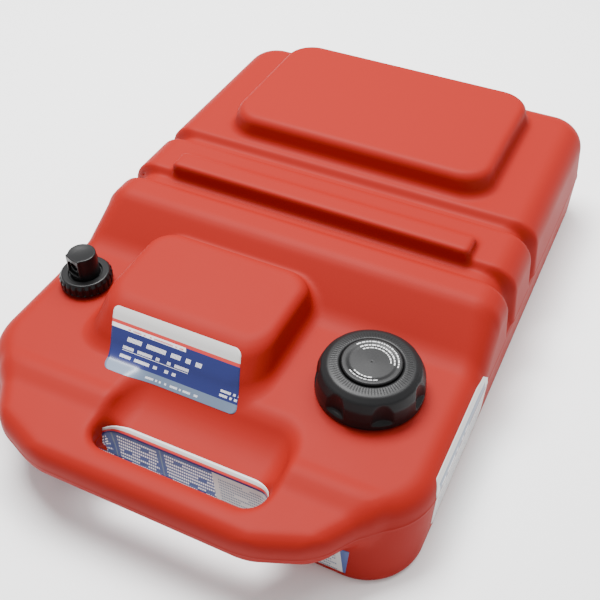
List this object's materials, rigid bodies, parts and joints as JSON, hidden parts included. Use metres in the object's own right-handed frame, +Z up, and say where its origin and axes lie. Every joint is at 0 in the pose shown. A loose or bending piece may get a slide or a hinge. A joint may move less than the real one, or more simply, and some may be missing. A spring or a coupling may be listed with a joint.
{
  "type": "outboard fuel tank",
  "caption": "Low stackable portable fuel tank with a built-in front carrying handle, a vented screw cap, a fuel outlet and a raised stacking pad.",
  "frame": {"origin": "on the floor under the middle of the tank's outer box", "axes": "+Z up, +Y from the carrying handle to the rear wall, +X to the right of someone facing the handle"},
  "size_m": [0.432, 0.637, 0.1422],
  "materials": {
    "tank_red": "satin blow-moulded polyethylene",
    "cap_black": "satin moulded polypropylene",
    "cap_core_grey": "satin moulded acetal",
    "outlet_black": "satin glass-filled nylon",
    "seal_rubber": "matt nitrile rubber",
    "spring_steel": "drawn wire",
    "valve_brass": "turned",
    "tube_white": "natural polyethylene",
    "label_film": "printed vinyl film"
  },
  "bodies": {
    "tank": {"tank_shell": "tank_red", "outlet_gasket": "seal_rubber", "outlet_body": "outlet_black", "valve_plug": "outlet_black", "valve_seat_ring": "seal_rubber", "valve_spring": "spring_steel", "pickup_tube": "tube_white", "pickup_strainer": "tube_white", "boss_label": "label_film", "front_label": "label_film", "side_label": "label_film"},
    "cap_seal": {"cap_gasket": "seal_rubber"},
    "filler_cap": {"filler_cap_shell": "cap_black", "cap_disc": "cap_black", "cap_core": "cap_core_grey", "cap_ratchet_ring": "cap_core_grey", "vent_valve_body": "cap_core_grey", "vent_spring": "spring_steel"},
    "vent": {"vent_poppet": "cap_core_grey", "vent_seal": "seal_rubber"},
    "nut_washer": {"outlet_slip_washer": "outlet_black"},
    "ring_nut": {"outlet_ring_nut": "outlet_black"},
    "fuel_valve": {"valve_poppet": "valve_brass"}
  },
  "joints": [
    {"name": "cap_lift", "type": "slide", "parent": "tank", "child": "cap_seal", "axis": [0, 0, 1], "range_m": [0, 0.02401]},
    {"name": "cap_turn", "type": "hinge", "parent": "cap_seal", "child": "filler_cap", "pos_m": [0.1284, -0.1381, 0.08], "axis": [0, 0, 1], "range_deg": [0, 1080]},
    {"name": "vent_open", "type": "slide", "parent": "filler_cap", "child": "vent", "axis": [0, 0, -1], "range_m": [0, 0.002], "stiffness_N_per_m": 200, "springref_m": -0.003, "deforming": ["vent_spring"]},
    {"name": "nut_lift", "type": "slide", "parent": "tank", "child": "nut_washer", "axis": [0, 0, 1], "range_m": [0, 0.00801]},
    {"name": "nut_turn", "type": "hinge", "parent": "nut_washer", "child": "ring_nut", "pos_m": [-0.1706, -0.132, 0.08], "axis": [0, 0, 1], "range_deg": [0, 720]},
    {"name": "valve_open", "type": "slide", "parent": "tank", "child": "fuel_valve", "axis": [0.2588, 0.9659, 0], "range_m": [0, 0.0025], "stiffness_N_per_m": 400, "springref_m": -0.003, "deforming": ["valve_spring"]}
  ],
  "couplings": [
    {"joint": "cap_lift", "follows": "cap_turn", "m_per_rad": 0.0012732},
    {"joint": "nut_lift", "follows": "nut_turn", "m_per_rad": 0.00063662}
  ]
}
